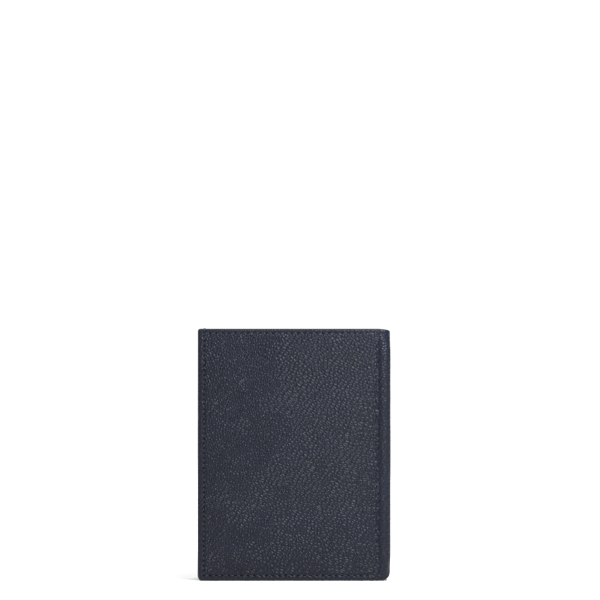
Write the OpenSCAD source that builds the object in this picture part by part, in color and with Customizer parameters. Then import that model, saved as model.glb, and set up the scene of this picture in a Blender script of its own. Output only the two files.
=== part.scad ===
// Upright bifold card holder in grained leather, closed, standing on its bottom edge.
// +X points at the spine, -Y is the outer face of the back cover, +Z is up.
// The origin is the centre of the footprint.

/* [Card] */
// Width of the card that a pocket takes
card_w = 85.6; // [72:0.1:104]
// Height of that card
card_h = 54; // [44:0.1:66]
// Play across a pocket, past the card's width
card_play = 0.8; // [0.6:0.1:1.4]
// Free depth of a pocket, past a card 0.76 thick
card_gap = 0.9; // [0.8:0.05:1.2]
// How much of a card shows above its pocket's mouth
card_show = 6; // [4:0.5:10]

/* [Outer cover] */
// Height of the holder
height = 125.5; // [112:0.5:152]
// Thickness of the outer leather
leather_t = 1.2; // [0.9:0.1:1.6]
// Thickness of the stiffening board
board_t = 0.5; // [0.3:0.1:0.8]
// Thickness of the textile lining
lining_t = 0.3; // [0.2:0.05:0.5]
// Outer radius of each of the two folds
fold_r = 6.5; // [5:0.1:7.8]
// Radius of the cover's free corners
corner_r = 1.6; // [1:0.1:2.4]
// Radius of the spine's bottom corner
spine_corner_low = 5; // [2:0.1:5.4]
// Radius of the spine's top corner
spine_corner_high = 2; // [1:0.1:5.4]
// Width of the leather turned in round the board
turn_w = 4.2; // [3.6:0.1:6]
// Gap between a cover and the spine at the middle of a fold
fold_gap = 0.3; // [0.2:0.05:0.5]

/* [Inside] */
// Depth of the banknote compartment
bill_gap = 0.8; // [0.5:0.1:1.5]
// Thickness of the inner panel
panel_t = 0.6; // [0.4:0.1:0.9]
// Thickness of a pocket's leather
pocket_t = 0.5; // [0.4:0.05:0.7]
// Rise from one pocket's mouth to the next
pocket_step = 16; // [12:0.5:17]
// Drop of the inner panel's top below the cover's
bill_drop = 6; // [4:0.5:10]
// Inset of the inner panel from the cover's edge
edge_inset = 0.5; // [0.3:0.1:1]
// Sewn margin along the free edge and the bottom
hem_edge = 3.3; // [3:0.1:4.5]
// Sewn margin beside the spine
hem_fold = 1.6; // [1.2:0.1:2.4]
// Clearance between the inner panel and the round inside of the fold
page_clear = 0.6; // [0.4:0.1:1.5]

/* [Centre leaf] */
// Depth of the leaf's window pocket
leaf_gap = 0.9; // [0.8:0.05:1.2]
// Thickness of the clear film
film_t = 0.15; // [0.1:0.05:0.25]
// Width of the leather frame round the window
frame_w = 8; // [6:0.5:12]
// Clearance on each side of the leaf when closed
leaf_clear = 0.6; // [0.5:0.05:1]
// Inset of the leaf from the inner panel, at its free, bottom and top edges
leaf_inset = 4; // [3:0.5:8]

/* [Stitching] */
// Length of one stitch and its hole
stitch_pitch = 3; // [2:0.1:4]
// Width of the thread
thread_w = 0.5; // [0.4:0.05:0.7]
// Distance from the free edge to the seam
seam_free = 3.1; // [2.4:0.1:3.2]
// Distance from the top edge to the seam
seam_top = 2.1; // [1.8:0.1:3]
// Distance from the bottom edge to the seam
seam_bottom = 2.7; // [2:0.1:3]

/* [Hidden] */

navy = "#343845";
navy_smooth = "#2e3240";
lining_grey = "#3a3d46";
board_tan = "#8c7257";
thread_navy = "#20232e";

split = 0.04;       // hairline that keeps the solids of one piece apart
arc_fn = 96;        // fineness of the round faces
groove_d = 0.35;    // depth of the channel that the outer thread lies in
groove_side = 0.15; // room beside the thread in that channel
thread_h = 0.3;     // height of an outer stitch above the channel's floor
thread_low = 0.1;   // height of the thread where it dips into a hole
inner_h = 0.15;     // height of an inner stitch above its leather
stitch_dip = 0.8;   // length of the dip between two stitches
stay_t = 0.3;       // thickness of the spine's reinforcing strip
tab_t = 0.6;        // how far the leaf's sewn tab stands off the spine's lining
leaf_hinge_gap = 0.3;   // bare fold between the tab and the leaf
leaf_frame_start = 4;   // distance from the leaf's hinge to its window pocket
seam_end = 2.7;     // distance from the fold to the end of the outer seam

// Depths, counted inwards from the outer face of a cover
shell_t = leather_t + board_t + lining_t;
panel_d = shell_t + bill_gap;
pockets_d = panel_d + panel_t;
layer_t = card_gap + pocket_t;
layers = 3;
stack_t = pockets_d + layers * layer_t;

// The leaf's layers, from its back-cover side: frame, film and card space, panel
leaf_space = film_t + leaf_gap;
leaf_t = pocket_t + leaf_space + pocket_t;
closed_t = 2 * (stack_t + leaf_clear) + leaf_t;

// Places along X
page_w = hem_edge + card_w + card_play + hem_fold;
spine_t = leather_t + stay_t + lining_t;
// How far short of the spine's outer face the round inside of the fold meets the inner panel
page_reach = fold_r - sqrt((fold_r - spine_t) ^ 2 - (fold_r - panel_d) ^ 2);
closed_w = edge_inset + page_w + page_clear + page_reach;
x_free = -closed_w / 2;
x_spine = closed_w / 2;
x_fold = x_spine - fold_r;
x_page = x_free + edge_inset;
x_page_end = x_page + page_w;
x_hinge = x_spine - spine_t - tab_t - leaf_hinge_gap / 2;

// Heights
z_page = edge_inset;
z_page_top = height - bill_drop;
z_card = z_page + hem_edge;
mouth_low = z_card + card_h - card_show;
mouths = [for (i = [0:3]) mouth_low + i * pocket_step];

// Centre of the fold's arc, and the fold's axis: half the arc's neutral length from each end
fold_y = -closed_t / 2 + fold_r;
fold_reach = PI / 4 * (fold_r - leather_t / 2);
fold_half_gap = asin(fold_gap / 2 / fold_r);

// The leaf's place: centred between the two stacks of pockets
leaf_y = -leaf_t / 2;
leaf_panel_y = leaf_y + pocket_t + leaf_space;
leaf_x0 = x_page + leaf_inset;
leaf_x1 = x_hinge - leaf_hinge_gap / 2;
leaf_z0 = z_page + leaf_inset;
leaf_z1 = z_page_top - leaf_inset;

// A block from x0 to x1 and z0 to z1, between two depths below the back cover's outer face
module slab(x0, x1, d0, d1, z0, z1) {
    translate([x0, -closed_t / 2 + d0, z0])
        cube([x1 - x0, d1 - d0, z1 - z0]);
}

// Turns what is modelled for the back cover into the front cover's
module on_front() {
    mirror([0, 1, 0]) children();
}

// An outline in X and Z with its two free corners rounded
module free_outline(x0, x1, z0, z1, r) {
    difference() {
        translate([x0, z0]) square([x1 - x0, z1 - z0]);
        translate([x0 + r, z0 + r])
            corner_waste(r);
        translate([x0 + r, z1 - r])
            mirror([0, 1]) corner_waste(r);
    }
}

// The same outline as a plate between two depths
module free_plate(x0, x1, d0, d1, z0, z1, r) {
    translate([0, -closed_t / 2 + d1, 0])
        rotate([90, 0, 0])
            linear_extrude(d1 - d0)
                free_outline(x0, x1, z0, z1, r);
}

// A piece of tube wall about the origin, between two radii and two angles
module ring_sector(r_out, r_in, a0, a1) {
    reach = 2 * r_out;
    intersection() {
        difference() {
            circle(r_out, $fn = arc_fn);
            circle(r_in, $fn = arc_fn);
        }
        polygon([[0, 0], reach * [cos(a0), sin(a0)], reach * [cos(a1), sin(a1)]]);
    }
}

// The rounded inner or outer line of the spine, as a filled shape of the given fold radius
module spine_core(r) {
    translate([x_fold, fold_y])
        square([r, -2 * fold_y]);
    for (side = [-1, 1])
        translate([x_fold, side * fold_y])
            circle(r, $fn = arc_fn);
}

// Rounds the spine's top and bottom corners, as seen from either cover
module round_spine() {
    intersection() {
        children();
        translate([0, closed_t, 0])
            rotate([90, 0, 0])
                linear_extrude(2 * closed_t)
                    translate([x_spine, 0])
                        mirror([1, 0])
                            difference() {
                                square([fold_r + 1, height]);
                                translate([spine_corner_low, spine_corner_low])
                                    corner_waste(spine_corner_low);
                                translate([spine_corner_high, height - spine_corner_high])
                                    mirror([0, 1]) corner_waste(spine_corner_high);
                            }
    }
}

// What a corner of radius r loses, about the centre of its arc, towards -X and -Y
module corner_waste(r) {
    difference() {
        translate([-2 * r, -2 * r]) square(2 * r);
        circle(r, $fn = arc_fn);
    }
}

// A layer of the spine between two fold radii, from the middle of one fold to the other's
module spine_layer(r_out, r_in, z0, z1) {
    far = 3 * fold_r;
    a = 45 - fold_half_gap;
    translate([0, 0, z0])
        linear_extrude(z1 - z0)
            intersection() {
                difference() {
                    spine_core(r_out);
                    spine_core(r_in);
                }
                polygon([
                    [x_fold, fold_y],
                    [x_fold + far * cos(a), fold_y - far * sin(a)],
                    [x_fold + far * cos(a), -fold_y + far * sin(a)],
                    [x_fold, -fold_y]
                ]);
            }
}

// Side view of a row of stitches: raised along each stitch, low where the thread dips into its hole
module stitch_profile(length, high, low) {
    count = max(1, round(length / stitch_pitch));
    pitch = length / count;
    ramp = stitch_dip / 4;
    polygon([
        [0, 0],
        for (i = [0:count - 1]) each [
            [i * pitch + ramp, low],
            [i * pitch + 2 * ramp, high],
            [(i + 1) * pitch - 2 * ramp, high],
            [(i + 1) * pitch - ramp, low]
        ],
        [length, 0]
    ]);
}

// Rows of stitches across and up an outward face at y, standing off it towards side * Y
module stitches_across(x0, x1, z, y, side, high, low) {
    translate([x0, y, z - side * thread_w / 2])
        rotate([side > 0 ? 0 : 180, 0, 0])
            linear_extrude(thread_w)
                stitch_profile(x1 - x0, high, low);
}

module stitches_up(x, z0, z1, y, side, high, low) {
    translate([x - thread_w / 2, y, z0])
        multmatrix([[0, 0, 1, 0], [0, side, 0, 0], [1, 0, 0, 0], [0, 0, 0, 1]])
            linear_extrude(thread_w)
                stitch_profile(z1 - z0, high, low);
}

// The channel pressed into the outer leather along its seam
module seam_groove() {
    w = thread_w + 2 * groove_side;
    x_seam = x_free + seam_free - w / 2;
    x_end = x_fold - seam_end;
    slab(x_seam, x_seam + w, -1, groove_d, seam_bottom - w / 2, height - seam_top + w / 2);
    for (z = [seam_bottom, height - seam_top])
        slab(x_seam, x_end, -1, groove_d, z - w / 2, z + w / 2);
}

// Grained outer leather of one cover: the panel with its turned edges, and its half of the fold
module cover_leather() {
    color(navy) {
        difference() {
            free_plate(x_free, x_fold - split, 0, shell_t, 0, height, corner_r);
            slab(x_free + turn_w, x_fold + 1, leather_t, shell_t + 1, turn_w, height - turn_w);
            seam_groove();
        }
        round_spine()
            translate([x_fold, fold_y, 0])
                difference() {
                    linear_extrude(height)
                        ring_sector(fold_r, fold_r - spine_t, -90, -45 - fold_half_gap);
                    translate([0, 0, turn_w])
                        cylinder(h = height - 2 * turn_w, r = fold_r - leather_t, $fn = arc_fn);
                }
    }
}

// Stiffening board, lying inside the turned edges
module cover_board() {
    color(board_tan)
        slab(x_free + turn_w, x_fold - split, leather_t, leather_t + board_t, turn_w, height - turn_w);
}

// Textile lining over the board, which faces the banknote compartment
module cover_lining() {
    color(lining_grey)
        slab(x_free + turn_w, x_fold - split, leather_t + board_t, shell_t, turn_w, height - turn_w);
}

// Sewn margin that closes the banknote compartment at its free edge and bottom
module bill_seam() {
    color(navy_smooth) {
        slab(x_page, x_page + hem_edge, shell_t, panel_d, z_page, z_page_top);
        slab(x_page + hem_edge + split, x_fold - split, shell_t, panel_d, z_page, z_page + hem_edge);
    }
}

// Smooth leather panel that carries the pockets
module inner_panel() {
    color(navy_smooth)
        slab(x_page, x_page_end, panel_d, pockets_d, z_page, z_page_top);
}

// One pocket: its leather, two sewn side margins, and the sewn line that a card stands on
module pocket(layer, mouth, stop) {
    d0 = pockets_d + layer * layer_t;
    d1 = d0 + card_gap;
    x_in = x_page + hem_edge;
    x_out = x_page_end - hem_fold;
    color(navy_smooth) {
        slab(x_page, x_page_end, d1, d1 + pocket_t, z_page, mouth);
        slab(x_page, x_in, d0, d1 - split, z_page, mouth);
        slab(x_out, x_page_end, d0, d1 - split, z_page, mouth);
        slab(x_in + split, x_out - split, d0, d1 - split, stop - hem_fold, stop);
    }
}

// Where a card stands in a pocket of the given mouth
function card_stop(mouth) = mouth - card_h + card_show;

// Thread of the outer seam: up the free edge, and along the top and bottom
module edge_thread() {
    y = -closed_t / 2 + groove_d;
    x_seam = x_free + seam_free;
    x_start = x_seam + thread_w / 2 + split;
    x_end = x_fold - seam_end - groove_side;
    color(thread_navy) {
        stitches_up(x_seam, seam_bottom, height - seam_top, y, -1, thread_h, thread_low);
        for (z = [seam_bottom, height - seam_top])
            stitches_across(x_start, x_end, z, y, -1, thread_h, thread_low);
    }
}

// Thread of the inner seams. mouths_up lists the mouths from the lowest pocket to the highest
module inner_thread(mouths_up) {
    x_seam = x_free + seam_free;
    x_fold_seam = x_page_end - hem_fold / 2;
    edges = [seam_bottom, for (m = mouths_up) m, z_page_top];
    color(thread_navy) {
        for (i = [0:layers], x = [x_seam, x_fold_seam])
            stitches_up(
                x, edges[i] + thread_w, edges[i + 1] - thread_w,
                -closed_t / 2 + pockets_d + (layers - i) * layer_t, 1, inner_h, inner_h / 3
            );
        stitches_across(
            x_seam + thread_w, x_fold_seam - thread_w, seam_bottom,
            -closed_t / 2 + stack_t, 1, inner_h, inner_h / 3
        );
    }
}

// Strip of the outer leather between the two folds, turned in at the top and bottom
module spine_leather() {
    color(navy)
        round_spine()
            difference() {
                spine_layer(fold_r, fold_r - spine_t, 0, height);
                translate([0, 0, turn_w])
                    linear_extrude(height - 2 * turn_w)
                        spine_core(fold_r - leather_t);
            }
}

// Reinforcing strip that keeps the spine's shape
module spine_stay() {
    r = fold_r - leather_t;
    color(board_tan) spine_layer(r, r - stay_t, turn_w, height - turn_w);
}

// Textile lining of the spine
module spine_lining() {
    r = fold_r - leather_t - stay_t;
    color(lining_grey) spine_layer(r, r - lining_t, turn_w, height - turn_w);
}

// Edge of the leaf, folded and sewn to the spine's lining
module leaf_tab() {
    x = x_spine - spine_t;
    color(navy_smooth)
        translate([x - tab_t, leaf_panel_y, leaf_z0])
            cube([tab_t, pocket_t, leaf_z1 - leaf_z0]);
}

// Smooth leather sheet of the centre leaf
module leaf_panel() {
    color(navy_smooth)
        translate([leaf_x0, leaf_panel_y, leaf_z0])
            cube([leaf_x1 - leaf_x0, pocket_t, leaf_z1 - leaf_z0]);
}

// Sewn margins between the leaf and its window frame
module leaf_window_hem() {
    x1 = leaf_x1 - leaf_frame_start;
    y = leaf_y + pocket_t;
    color(navy_smooth) {
        for (x = [leaf_x0, x1 - hem_fold])
            translate([x, y + film_t, leaf_z0])
                cube([hem_fold, leaf_gap, leaf_z1 - leaf_z0]);
        translate([leaf_x0 + hem_fold + split, y + film_t, leaf_z0])
            cube([x1 - leaf_x0 - 2 * (hem_fold + split), leaf_gap, hem_fold]);
    }
}

// Clear film behind the window frame
module leaf_window_film() {
    x1 = leaf_x1 - leaf_frame_start;
    color("white", 0.3)
        translate([leaf_x0, leaf_y + pocket_t, leaf_z0])
            cube([x1 - leaf_x0, film_t, leaf_z1 - leaf_z0]);
}

// Leather frame of the window
module leaf_window_frame() {
    x1 = leaf_x1 - leaf_frame_start;
    color(navy_smooth)
        difference() {
            translate([leaf_x0, leaf_y, leaf_z0])
                cube([x1 - leaf_x0, pocket_t, leaf_z1 - leaf_z0]);
            translate([leaf_x0 + frame_w, leaf_y - 1, leaf_z0 + frame_w])
                cube([x1 - leaf_x0 - 2 * frame_w, pocket_t + 2, leaf_z1 - leaf_z0 - 2 * frame_w]);
        }
}

// Thread of the leaf, on the window's side: both sides and the bottom
module leaf_thread() {
    inset = hem_fold / 2;
    x1 = leaf_x1 - leaf_frame_start;
    color(thread_navy) {
        for (x = [leaf_x0 + inset, x1 - inset])
            stitches_up(x, leaf_z0 + inset, leaf_z1 - inset, leaf_y, -1, inner_h, inner_h / 3);
        stitches_across(
            leaf_x0 + inset + thread_w, x1 - inset - thread_w, leaf_z0 + inset,
            leaf_y, -1, inner_h, inner_h / 3
        );
    }
}

cover_leather();  // back_leather
cover_board();  // back_board
cover_lining();  // back_lining
bill_seam();  // back_bill_seam
inner_panel();  // back_inner_panel
pocket(0, mouths[2], card_stop(mouths[2]));  // back_pocket_upper
pocket(1, mouths[1], card_stop(mouths[1]));  // back_pocket_middle
pocket(2, mouths[0], card_stop(mouths[0]));  // back_pocket_lower
edge_thread();  // back_edge_thread
inner_thread([mouths[0], mouths[1], mouths[2]]);  // back_inner_thread

spine_leather();
spine_stay();
spine_lining();
leaf_tab();

on_front() cover_leather();  // front_leather
on_front() cover_board();  // front_board
on_front() cover_lining();  // front_lining
on_front() bill_seam();  // front_bill_seam
on_front() inner_panel();  // front_inner_panel
on_front() pocket(0, mouths[3], z_card);  // front_slip_pocket
on_front() pocket(1, mouths[1], card_stop(mouths[1]));  // front_pocket_upper
on_front() pocket(2, mouths[0], card_stop(mouths[0]));  // front_pocket_lower
on_front() edge_thread();  // front_edge_thread
on_front() inner_thread([mouths[0], mouths[1], mouths[3]]);  // front_inner_thread

leaf_panel();
leaf_window_hem();
leaf_window_film();
leaf_window_frame();
leaf_thread();
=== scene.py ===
import math

import bpy
import numpy as np
from bpy.props import FloatProperty, FloatVectorProperty, IntProperty, PointerProperty
from mathutils import Matrix, Vector


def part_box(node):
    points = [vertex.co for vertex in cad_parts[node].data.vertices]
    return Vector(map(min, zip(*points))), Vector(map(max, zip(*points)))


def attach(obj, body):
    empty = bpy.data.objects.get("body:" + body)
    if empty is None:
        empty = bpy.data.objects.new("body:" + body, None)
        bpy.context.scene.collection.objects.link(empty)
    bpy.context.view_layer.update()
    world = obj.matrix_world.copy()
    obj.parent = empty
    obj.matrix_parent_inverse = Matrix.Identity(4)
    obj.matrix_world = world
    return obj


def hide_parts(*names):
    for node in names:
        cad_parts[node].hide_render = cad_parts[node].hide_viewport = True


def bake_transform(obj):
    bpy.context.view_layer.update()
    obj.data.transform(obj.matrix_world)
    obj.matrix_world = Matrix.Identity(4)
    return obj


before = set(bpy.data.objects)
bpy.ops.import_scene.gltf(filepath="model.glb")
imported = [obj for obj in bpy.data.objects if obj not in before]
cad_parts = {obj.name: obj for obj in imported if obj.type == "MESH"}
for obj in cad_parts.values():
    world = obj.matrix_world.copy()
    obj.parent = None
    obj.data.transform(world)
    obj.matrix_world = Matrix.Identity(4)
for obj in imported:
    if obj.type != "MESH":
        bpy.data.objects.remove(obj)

bl_info = {
    "name": "Bifold card holder",
    "version": (1, 0, 0),
    "blender": (4, 5, 0),
    "location": "3D View > Sidebar > Card holder",
    "description": "Leather, lining, pockets, thread and stage of a bifold card holder",
    "category": "Object",
}

MM = 0.001
BACK, FRONT = -1, 1
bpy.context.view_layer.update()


def low(node):
    """The lowest corner of a node's box."""
    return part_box(node)[0]


def high(node):
    """The highest corner of a node's box."""
    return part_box(node)[1]


# The cover's section, read from the frame
HALF_T = -low("back_leather").y
FREE_X = low("back_leather").x
SPINE_X = high("spine_leather").x
FOLD_X = high("back_board").x
TOP_Z = high("back_leather").z
TURN_W = low("back_board").z
FOLD_R = SPINE_X - FOLD_X
COVER_T = low("back_bill_seam").y + HALF_T
LEATHER_T = low("back_board").y + HALF_T
SPINE_T = SPINE_X - high("leaf_tab").x
LINING_T = high("back_lining").y - low("back_lining").y
SHEET_T = high("leaf_panel").y - low("leaf_panel").y

# The inner pages, read from the frame
PAGE_X0, PAGE_X1 = low("back_inner_panel").x, high("back_inner_panel").x
PAGE_Z0, PAGE_Z1 = low("back_inner_panel").z, high("back_inner_panel").z
LAYER_T = high("back_pocket_upper").y - low("back_pocket_upper").y
LEAF_X1 = high("leaf_window_frame").x

# Lengths along the outer leather, from the free edge to the middle of the spine
FLAT_U = FOLD_X - FREE_X
ARC_U = FOLD_R * math.pi / 2
HALF_U = FLAT_U + ARC_U + HALF_T - FOLD_R

SIDE_NAME = {BACK: "back", FRONT: "front"}
COVER = {BACK: "back_cover", FRONT: "front_cover"}
POCKETS = {
    BACK: ("back_pocket_upper", "back_pocket_middle", "back_pocket_lower"),
    FRONT: ("front_slip_pocket", "front_pocket_upper", "front_pocket_lower"),
}


def linear(colour):
    """An sRGB hex colour as the linear RGBA that a socket takes."""
    parts = [int(colour[i:i + 2], 16) / 255 for i in (1, 3, 5)]
    return [c / 12.92 if c <= 0.04045 else ((c + 0.055) / 1.055) ** 2.4 for c in parts] + [1.0]


def shade(colour, factor):
    """A linear colour made darker or lighter."""
    return [c * factor for c in colour[:3]] + [1.0]


# ------------------------ sizes and colours

def measure(name, description, millimetres):
    """A size that a user can change, given in millimetres."""
    return FloatProperty(name=name, description=description, default=millimetres * MM, unit="LENGTH")


def dye(name, description, colour):
    """A colour that a user can change, given in sRGB hex."""
    return FloatVectorProperty(
        name=name, description=description, default=linear(colour), subtype="COLOR", size=4)


class LeatherSizes(bpy.types.PropertyGroup):
    grid: measure("Grid", "Spacing of the outer leather's mesh", 0.46)
    bulge: measure("Bulge", "How far a cover's middle stands out of its edges", 1.2)
    roll: measure("Roll-off", "Width of the margin over which a cover curves down to its edge", 16)
    crease: measure("Crease", "Depth of the crease where the board ends and the fold begins", 0.6)
    bead: measure("Bead", "How far the leather at the fold stands out of a quarter circle", 1.45)
    wave: measure("Wave", "Height of the soft unevenness over the padding", 0.08)
    lift_low: measure(
        "Lift of the bottom", "How far the leather draws up at the spine's bottom end", 4.2)
    lift_high: measure("Drop of the top", "How far the leather draws down at the spine's top end", 0.7)
    cell: measure("Pebble", "Width of one pebble of the grain", 1.25)
    relief: measure("Relief", "Height of the pebbles, from valley to crown", 0.17)
    channel: measure("Channel", "Depth that the seam is drawn into the leather", 0.38)
    corner_low: measure("Bottom corner", "Radius of a cover's free bottom corner", 2.4)
    corner_high: measure("Top corner", "Radius of a cover's free top corner", 1.2)


class ThreadSizes(bpy.types.PropertyGroup):
    pitch_up: measure("Stitch at the free edge", "Length of a stitch along the free edge", 2.4)
    pitch_across: measure("Stitch across", "Length of a stitch along the top and the bottom", 3.1)
    gap_up: measure(
        "Hole at the free edge", "Half the length of a needle hole in the seams that run up", 0.5)
    gap_across: measure(
        "Hole across", "Half the length of a needle hole in the seams that run across", 0.72)
    radius: measure("Thread", "Radius of the thread", 0.21)
    from_edge: measure("From the free edge", "Distance of the seam from the free edge", 3.1)
    from_top: measure("From the top", "Distance of the seam from the top edge", 2.2)
    from_bottom: measure("From the bottom", "Distance of the seam from the bottom edge", 2.8)
    from_fold: measure("From the fold", "Where the seams across stop before the fold", 2.0)
    seed: IntProperty(name="Seed", description="Seed of the stitches' small tilts", default=7)


class PocketSizes(bpy.types.PropertyGroup):
    hem_free: measure("Outer hem", "Width of the sewn margin at the free edge and the bottom", 3.3)
    hem_fold: measure("Inner hem", "Width of the sewn margin beside the spine", 1.6)
    sag: measure("Sag", "How far an empty pocket's leather wanders in and out", 0.16)
    bow: measure("Bow", "How far a pocket's mouth dips in its middle", 0.35)
    crease: measure("Crease", "Distance of the pressed line from a pocket's mouth", 1.8)


class Colours(bpy.types.PropertyGroup):
    crown: dye("Crown", "Outer leather on the pebbles", "#131a2e")
    # The valley colour is partly the leather's own darker colour and partly painted shade in the hollows
    # between the pebbles
    valley: dye("Valley", "Outer leather between the pebbles", "#090c17")
    smooth: dye("Smooth leather", "Leather of the pockets", "#2a2e3c")
    lining: dye("Lining", "Woven lining", "#343845")
    thread: dye("Thread", "Waxed thread", "#1b1f2a")


class StageSizes(bpy.types.PropertyGroup):
    lens: FloatProperty(name="Lens", description="Focal length in mm", default=150)
    distance: FloatProperty(
        name="Distance", description="From the camera to the back cover", default=1.246, unit="LENGTH")
    height: FloatProperty(
        name="Height", description="Height of the camera", default=0.115, unit="LENGTH")
    pitch: FloatProperty(
        name="Pitch", description="How far the camera looks up", default=math.radians(1.14),
        subtype="ANGLE")
    aside: measure("Aside", "How far the camera stands to the right of the holder's middle", 2.95)
    floor: FloatProperty(
        name="Floor", description="Radius of the floor", default=6.0, unit="LENGTH")


def sizes(name):
    """One of the groups of sizes or colours, as the scene holds it."""
    return getattr(bpy.context.scene, "card_holder_" + name)


# ------------------------ materials

def add(tree, kind, inputs=None, **settings):
    """Adds a node. settings are its properties. inputs are values, nodes or sockets for its inputs."""
    node = tree.nodes.new(kind)
    for key, value in settings.items():
        setattr(node, key, value)
    for key, value in (inputs or {}).items():
        if isinstance(value, bpy.types.Node):
            value = value.outputs[0]
        if isinstance(value, bpy.types.NodeSocket):
            tree.links.new(value, node.inputs[key])
        else:
            node.inputs[key].default_value = value
    return node


def new_material(name, **sockets):
    """A material with one principled shader, whose plain values are set here.

    It gives the material's tree, and a function that links a colour, which goes from dark to light
    with the tone, a roughness and a bump."""
    material = bpy.data.materials.new(name)
    material.use_nodes = True
    tree = material.node_tree
    bsdf = tree.nodes["Principled BSDF"]
    for key, value in sockets.items():
        bsdf.inputs[key.replace("_", " ")].default_value = value

    def finish(tone, dark, light, gloss=None, bump=None):
        colour = add(tree, "ShaderNodeMix", {0: tone, 6: dark, 7: light}, data_type="RGBA")
        tree.links.new(colour.outputs[2], bsdf.inputs["Base Color"])
        for key, node in (("Roughness", gloss), ("Normal", bump)):
            if node:
                tree.links.new(node.outputs[0], bsdf.inputs[key])
        return material
    return tree, finish


def pebbles(tree, grain):
    """Height, 0 to 1, of the pebbled grain at a place that is given in pebble widths.

    Its third number, 0 to 1, goes from short, nearly upright pebbles to long ones that lean."""
    turned = add(tree, "ShaderNodeSeparateXYZ", {0: grain}).outputs[2]
    heights = []
    for angle, squeeze, push, valley in (
            (-0.2, (1.0, 0.83, 0.0), 0.0, 0.36), (-1.0, (1.0, 0.59, 0.0), 17.0, 0.38)):
        place = add(
            tree, "ShaderNodeVectorRotate", {"Vector": grain, "Angle": angle},
            rotation_type="Z_AXIS")
        place = add(
            tree, "ShaderNodeVectorMath", {0: place, 1: squeeze, 2: (push, push, 0.0)},
            operation="MULTIPLY_ADD")
        gap, middle = (
            add(tree, "ShaderNodeTexVoronoi", {"Vector": place, "Scale": 1.0, "Randomness": 0.85},
                voronoi_dimensions="2D", feature=feature)
            for feature in ("DISTANCE_TO_EDGE", "F1"))
        rise = add(
            tree, "ShaderNodeMapRange", {0: gap, 1: 0.0, 2: valley}, interpolation_type="SMOOTHSTEP")
        dome = add(
            tree, "ShaderNodeMapRange", {0: middle, 1: 0.0, 2: 0.8, 3: 1.0, 4: 0.58},
            interpolation_type="SMOOTHSTEP")
        heights.append(add(tree, "ShaderNodeMath", {0: rise, 1: dome}, operation="MULTIPLY"))
    return add(tree, "ShaderNodeMix", {0: turned, 2: heights[0], 3: heights[1]})


def pebbled_cowhide():
    """Chrome-tanned cowhide, embossed with a pebbled grain and finished satin.

    The eye sees low pebbles, 1.3 mm wide and 1.5 to 2 mm long, with soft highlights and dark valleys. The
    colour darkens towards the valleys: partly the leather's own colour, partly painted shade for the shadow
    in the valleys."""
    colours = sizes("colours")
    tree, finish = new_material("pebbled_cowhide", Specular_IOR_Level=0.27, IOR=1.5)
    grain = add(tree, "ShaderNodeAttribute", attribute_name="grain").outputs["Vector"]
    press = add(tree, "ShaderNodeAttribute", attribute_name="press").outputs["Fac"]
    sheet = add(tree, "ShaderNodeUVMap", uv_map="sheet")
    height = pebbles(tree, grain)
    # Fine creases between the hair cells, about 0.5 mm apart, and patches of 20 mm in the dye
    creases, patches = (
        add(tree, "ShaderNodeTexNoise", {"Vector": sheet, "Scale": 1 / width, "Detail": detail},
            noise_dimensions="2D")
        for width, detail in ((0.55 * MM, 3.0), (20 * MM, 2.0)))
    flat = add(tree, "ShaderNodeMath", {0: press, 1: 0.7}, operation="MULTIPLY")
    relief = add(tree, "ShaderNodeMix", {0: flat, 2: height, 3: 0.35})
    fine, broad = (
        add(tree, "ShaderNodeMapRange", {0: noise, 1: 0.3, 2: 0.7, 3: -amount, 4: amount})
        for noise, amount in ((creases, 0.14), (patches, 0.1)))
    # The tone follows the pebbles' height, so the valleys come out darker: partly the leather's own colour,
    # partly painted shade
    tone = add(tree, "ShaderNodeMath", {0: relief, 1: fine}, operation="ADD")
    tone = add(tree, "ShaderNodeMath", {0: tone, 1: broad}, operation="ADD", use_clamp=True)
    gloss = add(tree, "ShaderNodeMapRange", {0: tone, 1: 0.1, 2: 0.9, 3: 0.48, 4: 0.38})
    coarse = add(tree, "ShaderNodeBump", {"Height": relief, "Distance": 0.25 * MM})
    normal = add(
        tree, "ShaderNodeBump",
        {"Height": creases, "Distance": 0.03 * MM, "Strength": 0.8, "Normal": coarse})
    return finish(tone, colours.valley, colours.crown, gloss, normal)


def smooth_calf():
    """Smooth full-grain calf for the pockets: satin, with fine pores and faint creases."""
    smooth = sizes("colours").smooth
    tree, finish = new_material("smooth_calf", Specular_IOR_Level=0.4, IOR=1.5)
    place = add(tree, "ShaderNodeTexCoord").outputs["Object"]
    # Pores 0.7 mm apart
    pores = add(tree, "ShaderNodeTexVoronoi", {"Vector": place, "Scale": 1 / (0.7 * MM)})
    creases = add(
        tree, "ShaderNodeTexNoise",
        {"Vector": place, "Scale": 1 / (1.4 * MM), "Detail": 5.0, "Roughness": 0.65})
    patches = add(tree, "ShaderNodeTexNoise", {"Vector": place, "Scale": 1 / (16 * MM), "Detail": 2.0})
    height = add(
        tree, "ShaderNodeMath", {0: pores, 1: -0.6, 2: creases}, operation="MULTIPLY_ADD")
    tone = add(tree, "ShaderNodeMapRange", {0: height, 1: -0.1, 2: 0.5, 3: 0.1, 4: 0.7})
    broad = add(tree, "ShaderNodeMapRange", {0: patches, 1: 0.3, 2: 0.7, 3: -0.15, 4: 0.25})
    tone = add(tree, "ShaderNodeMath", {0: tone, 1: broad}, operation="ADD", use_clamp=True)
    gloss = add(tree, "ShaderNodeMapRange", {0: patches, 1: 0.3, 2: 0.7, 3: 0.42, 4: 0.55})
    normal = add(
        tree, "ShaderNodeBump", {"Height": height, "Distance": 0.09 * MM, "Strength": 0.8})
    return finish(tone, shade(smooth, 0.5), shade(smooth, 1.3), gloss, normal)


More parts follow.
